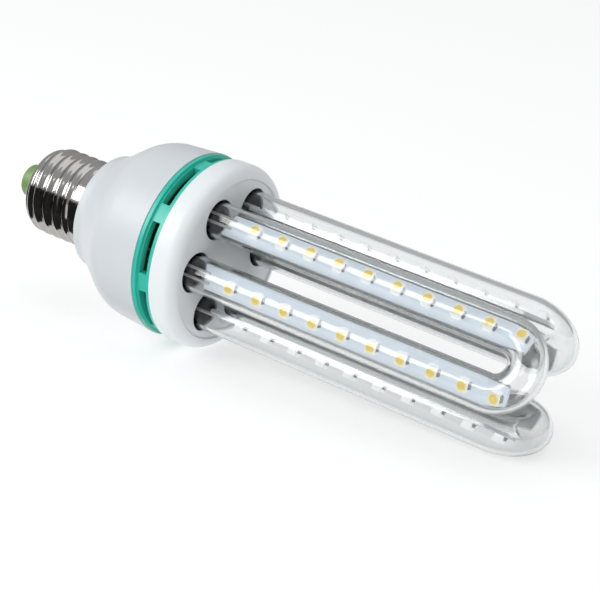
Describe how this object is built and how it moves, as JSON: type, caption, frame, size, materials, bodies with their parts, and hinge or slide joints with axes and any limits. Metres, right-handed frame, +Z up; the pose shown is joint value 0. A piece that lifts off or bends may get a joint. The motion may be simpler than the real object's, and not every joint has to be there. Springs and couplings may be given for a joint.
{
  "type": "led corn lamp",
  "caption": "Clear U-shaped glass tubes holding LED strips on a white moulded base with a green slotted vent ring and a screw cap",
  "frame": {"origin": "the middle of the lamp's bounding box on the surface that it lies on", "axes": "+X runs along the lying lamp from its screw cap to the bends of its tubes, +Z is up, and +Y is across it; the lamp's own axis dips by about five degrees towards +X"},
  "size_m": [0.1796, 0.0544, 0.0552],
  "materials": {
    "contact_metal": "dull nickel plating",
    "insulator_plastic": "moulded, slightly glossy, pale green",
    "cap_plating": "bright nickel plating on rolled sheet",
    "white_moulding": "satin white moulding",
    "green_moulding": "satin green moulding",
    "sealing_compound": "cured dark grey compound",
    "tube_glass": "clear drawn glass",
    "strip_board": "white coating on an aluminium board",
    "led_body": "white moulding",
    "phosphor": "yellow phosphor in clear resin",
    "board_laminate": "glass laminate with a green coating",
    "can_sleeve": "shrunk dark sleeve",
    "film_coating": "dipped red-brown coating",
    "ferrite": "sintered grey ferrite",
    "copper_winding": "enamelled copper wire",
    "black_moulding": "black moulding",
    "resistor_coating": "grey-green coating",
    "lead_insulation": "white wire insulation"
  },
  "bodies": {
    "root": {"base_housing": "white_moulding", "bridge_rectifier": "black_moulding", "centre_contact": "contact_metal", "choke_core": "ferrite", "choke_winding": "copper_winding", "contact_insulator": "insulator_plastic", "driver_board": "board_laminate", "driver_chip": "black_moulding", "film_capacitor": "film_coating", "fusible_resistor": "resistor_coating", "led_strip_back_a": "strip_board", "led_strip_back_b": "strip_board", "led_strip_front_a": "strip_board", "led_strip_front_b": "strip_board", "led_strip_under_a": "strip_board", "led_strip_under_b": "strip_board", "leds_back_a": "led_body", "leds_back_b": "led_body", "leds_front_a": "led_body", "leds_front_b": "led_body", "leds_under_a": "led_body", "leds_under_b": "led_body", "live_lead": "lead_insulation", "neutral_lead": "lead_insulation", "phosphors_back_a": "phosphor", "phosphors_back_b": "phosphor", "phosphors_front_a": "phosphor", "phosphors_front_b": "phosphor", "phosphors_under_a": "phosphor", "phosphors_under_b": "phosphor", "screw_shell": "cap_plating", "smoothing_capacitor": "can_sleeve", "strip_leads_back_a": "lead_insulation", "strip_leads_back_b": "lead_insulation", "strip_leads_front_a": "lead_insulation", "strip_leads_front_b": "lead_insulation", "strip_leads_under_a": "lead_insulation", "strip_leads_under_b": "lead_insulation", "tube_adhesive": "sealing_compound", "tube_holder": "white_moulding", "u_tube_back": "tube_glass", "u_tube_front": "tube_glass", "u_tube_under": "tube_glass", "vent_ring": "green_moulding"}
  },
  "joints": []
}
